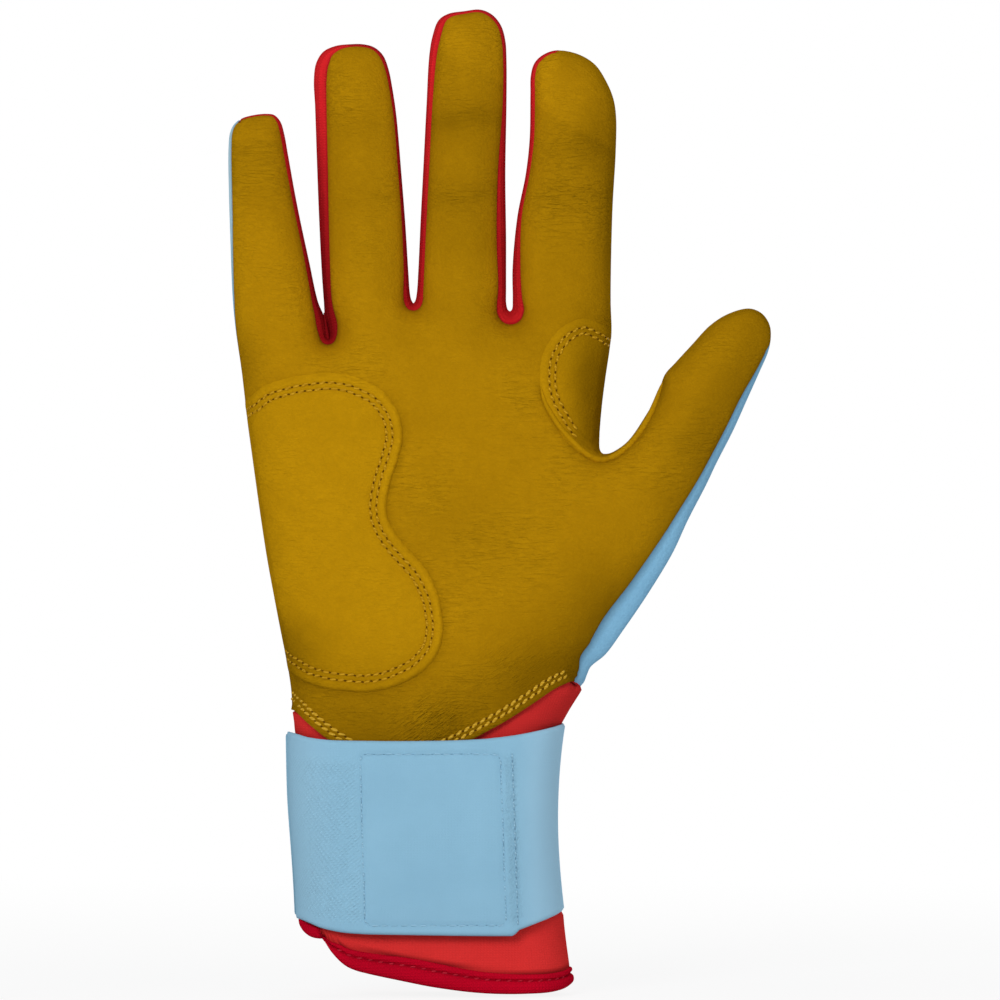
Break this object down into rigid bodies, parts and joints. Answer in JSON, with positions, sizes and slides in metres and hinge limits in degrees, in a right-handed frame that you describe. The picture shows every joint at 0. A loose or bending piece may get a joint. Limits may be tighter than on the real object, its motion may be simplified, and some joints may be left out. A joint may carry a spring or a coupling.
{
  "type": "batting glove",
  "caption": "Right-hand batting glove with leather palm, soft back, contrasting fourchettes, padded heel patch, long cuff and hook-and-loop wrist strap; fingers and thumb bend, strap peels.",
  "frame": {"origin": "on the middle line of the wrist, level with the lowest edge of the cuff, where the wrist enters", "axes": "+Z from the wrist to the fingertips, -Y out of the palm, +X to the thumb side"},
  "size_m": [0.142, 0.039, 0.2555],
  "materials": {
    "palm_leather": "soft grained sheepskin",
    "patch_leather": "smooth overlay leather",
    "back_fabric": "soft synthetic back",
    "fourchette_fabric": "matt stretch fabric",
    "cuff_neoprene": "matt neoprene",
    "binding_tape": "woven edge tape",
    "strap_fabric": "brushed strap",
    "closure_nylon": "hook and loop",
    "pad_foam": "thin foam"
  },
  "bodies": {
    "hand": {"palm_panel": "palm_leather", "back_panel": "back_fabric", "gusset_little_ring": "fourchette_fabric", "gusset_ring_middle": "fourchette_fabric", "gusset_middle_index": "fourchette_fabric", "heel_pad_foam": "pad_foam", "heel_patch": "patch_leather", "thumb_web_patch": "patch_leather", "cuff": "cuff_neoprene", "cuff_binding": "binding_tape", "loop_pad": "closure_nylon", "strap_back": "strap_fabric"},
    "strap": {"strap_tab": "strap_fabric", "strap_panel": "strap_fabric", "strap_elastic": "strap_fabric", "hook_pad": "closure_nylon"},
    "little_base": {"little_base_front": "palm_leather", "little_base_back": "back_fabric", "little_base_fourchette_right": "fourchette_fabric"},
    "little_tip": {"little_tip_front": "palm_leather", "little_tip_back": "back_fabric", "little_tip_fourchette_right": "fourchette_fabric"},
    "ring_base": {"ring_base_front": "palm_leather", "ring_base_back": "back_fabric", "ring_base_fourchette_left": "fourchette_fabric", "ring_base_fourchette_right": "fourchette_fabric"},
    "ring_tip": {"ring_tip_front": "palm_leather", "ring_tip_back": "back_fabric", "ring_tip_fourchette_left": "fourchette_fabric", "ring_tip_fourchette_right": "fourchette_fabric"},
    "middle_base": {"middle_base_front": "palm_leather", "middle_base_back": "back_fabric", "middle_base_fourchette_left": "fourchette_fabric", "middle_base_fourchette_right": "fourchette_fabric"},
    "middle_tip": {"middle_tip_front": "palm_leather", "middle_tip_back": "back_fabric", "middle_tip_fourchette_left": "fourchette_fabric", "middle_tip_fourchette_right": "fourchette_fabric"},
    "index_base": {"index_base_front": "palm_leather", "index_base_back": "back_fabric", "index_base_fourchette_left": "fourchette_fabric"},
    "index_tip": {"index_tip_front": "palm_leather", "index_tip_back": "back_fabric", "index_tip_fourchette_left": "fourchette_fabric"},
    "thumb_base": {"thumb_base_front": "palm_leather", "thumb_base_back": "back_fabric"},
    "thumb_tip": {"thumb_tip_front": "palm_leather", "thumb_tip_back": "back_fabric"}
  },
  "joints": [
    {"name": "little_knuckle", "type": "hinge", "parent": "hand", "child": "little_base", "pos_m": [-0.0388, -0.0092, 0.1715], "axis": [0.9936, 0, 0.1132], "range_deg": [0, 80]},
    {"name": "little_bend", "type": "hinge", "parent": "little_base", "child": "little_tip", "pos_m": [-0.04186, -0.00816, 0.19833], "axis": [0.9936, 0, 0.1132], "range_deg": [0, 90]},
    {"name": "ring_knuckle", "type": "hinge", "parent": "hand", "child": "ring_base", "pos_m": [-0.0153, -0.01, 0.18], "axis": [0.9976, 0, 0.0698], "range_deg": [0, 80]},
    {"name": "ring_bend", "type": "hinge", "parent": "ring_base", "child": "ring_tip", "pos_m": [-0.01746, -0.00889, 0.21092], "axis": [0.9976, 0, 0.0698], "range_deg": [0, 90]},
    {"name": "middle_knuckle", "type": "hinge", "parent": "hand", "child": "middle_base", "pos_m": [0.0088, -0.01, 0.18], "axis": [0.9995, 0, -0.0332], "range_deg": [0, 80]},
    {"name": "middle_bend", "type": "hinge", "parent": "middle_base", "child": "middle_tip", "pos_m": [0.00996, -0.00898, 0.21498], "axis": [0.9995, 0, -0.0332], "range_deg": [0, 90]},
    {"name": "index_knuckle", "type": "hinge", "parent": "hand", "child": "index_base", "pos_m": [0.0349, -0.0102, 0.1755], "axis": [0.9984, 0, -0.0558], "range_deg": [0, 80]},
    {"name": "index_bend", "type": "hinge", "parent": "index_base", "child": "index_tip", "pos_m": [0.03669, -0.00918, 0.20745], "axis": [0.9984, 0, -0.0558], "range_deg": [0, 90]},
    {"name": "thumb_knuckle", "type": "hinge", "parent": "hand", "child": "thumb_base", "pos_m": [0.0572, -0.0114, 0.1321], "axis": [0.8616, 0, -0.5075], "range_deg": [0, 50]},
    {"name": "thumb_bend", "type": "hinge", "parent": "thumb_base", "child": "thumb_tip", "pos_m": [0.06989, -0.00999, 0.15364], "axis": [0.8616, 0, -0.5075], "range_deg": [0, 70]},
    {"name": "strap_peel", "type": "hinge", "parent": "hand", "child": "strap", "pos_m": [-0.0369, 0, 0.041], "axis": [0, 0, -1], "range_deg": [0, 100]}
  ]
}
